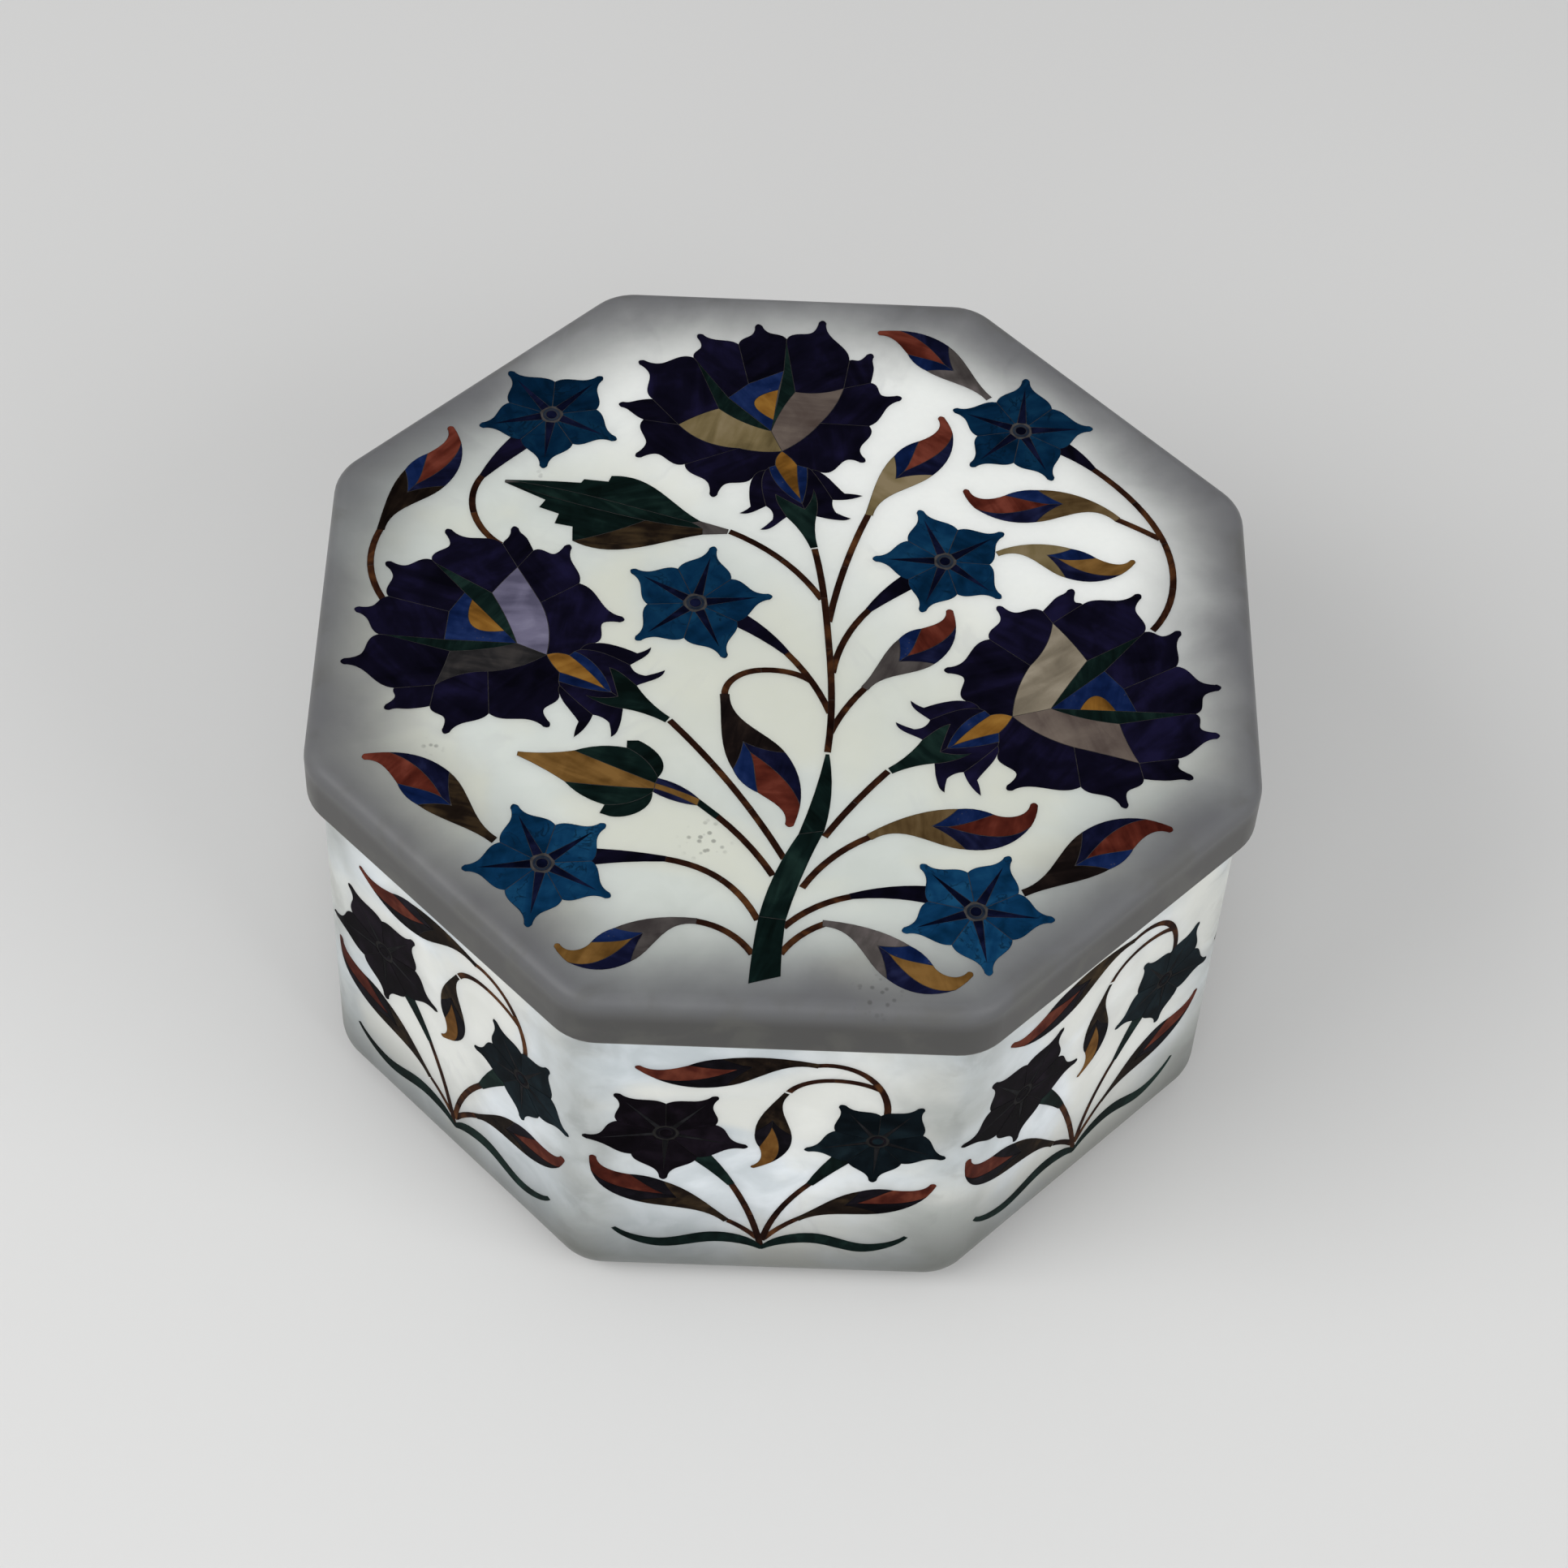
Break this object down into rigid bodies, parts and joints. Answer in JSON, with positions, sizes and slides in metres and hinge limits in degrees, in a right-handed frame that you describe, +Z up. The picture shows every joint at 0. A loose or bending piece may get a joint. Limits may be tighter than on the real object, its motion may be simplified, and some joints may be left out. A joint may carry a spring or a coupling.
{
  "type": "inlaid marble box",
  "caption": "Octagonal white marble trinket box with a lift-off lid, inlaid flush with flowers, buds and stems of coloured hard stone; holds jewellery or keepsakes.",
  "frame": {"origin": "centre of the flat underside", "axes": "+Z up through the lid, -Y out of the front facet, under the root of the plant on the lid"},
  "size_m": [0.127, 0.127, 0.0695],
  "materials": {
    "amber": "polished amber-yellow stone",
    "brown": "polished brown stone",
    "cobalt": "polished lapis-blue stone",
    "cream": "polished cream shell",
    "dark_brown": "polished dark brown stone",
    "deep_blue": "polished deep blue stone",
    "eye_grey": "polished blue-grey stone",
    "green": "polished dark green stone",
    "lilac": "polished lilac-white shell",
    "marble": "white marble, honed and waxed",
    "mauve_grey": "polished mauve-grey shell",
    "navy": "polished dark blue stone",
    "plum": "polished plum-brown stone",
    "red": "polished red-orange stone",
    "rose_cream": "polished pinkish cream shell",
    "stem_brown": "polished red-brown stone",
    "stone_grey": "polished warm grey stone",
    "tan": "polished tan stone",
    "teal": "polished teal stone",
    "turquoise_blue": "polished turquoise-blue stone",
    "violet_black": "polished near-black violet stone"
  },
  "bodies": {
    "base": {"box_body": "marble", "panel_bud_cheeks": "deep_blue", "panel_bud_sheaths": "brown", "panel_flames_amber": "amber", "panel_flames_red": "red", "panel_grass": "green", "panel_necks": "green", "panel_star_eyes": "eye_grey", "panel_star_plum": "plum", "panel_star_rays": "eye_grey", "panel_star_teal": "teal", "panel_stems": "stem_brown"},
    "cover": {"bud_cheeks_bright": "cobalt", "bud_cheeks_deep": "deep_blue", "bud_flames_amber": "amber", "bud_flames_red": "red", "bud_sheaths_brown": "brown", "bud_sheaths_cream": "cream", "bud_sheaths_dark": "dark_brown", "bud_sheaths_grey": "mauve_grey", "bud_sheaths_tan": "tan", "green_bud_cup_blue": "deep_blue", "green_bud_flame": "amber", "green_bud_lobes": "green", "leaf_brown": "brown", "leaf_foot": "cream", "leaf_green": "green", "lid": "marble", "rose_left_amber": "amber", "rose_left_blue": "cobalt", "rose_left_fingers": "violet_black", "rose_left_first_pale": "lilac", "rose_left_green": "green", "rose_left_petals": "violet_black", "rose_left_second_pale": "stone_grey", "rose_right_amber": "amber", "rose_right_blue": "cobalt", "rose_right_fingers": "violet_black", "rose_right_first_pale": "cream", "rose_right_green": "green", "rose_right_petals": "violet_black", "rose_right_second_pale": "rose_cream", "rose_top_amber": "amber", "rose_top_blue": "cobalt", "rose_top_fingers": "violet_black", "rose_top_first_pale": "cream", "rose_top_green": "green", "rose_top_petals": "violet_black", "rose_top_second_pale": "rose_cream", "star_eyes": "eye_grey", "star_middle_left": "turquoise_blue", "star_middle_right": "turquoise_blue", "star_necks": "violet_black", "star_north_east": "turquoise_blue", "star_north_west": "turquoise_blue", "star_rays": "navy", "star_south_east": "turquoise_blue", "star_south_west": "turquoise_blue", "stems": "stem_brown", "trunk": "green"}
  },
  "joints": [
    {"name": "lid_lift", "type": "slide", "parent": "base", "child": "cover", "axis": [0, 0, 1], "range_m": [0, 0.08]}
  ]
}
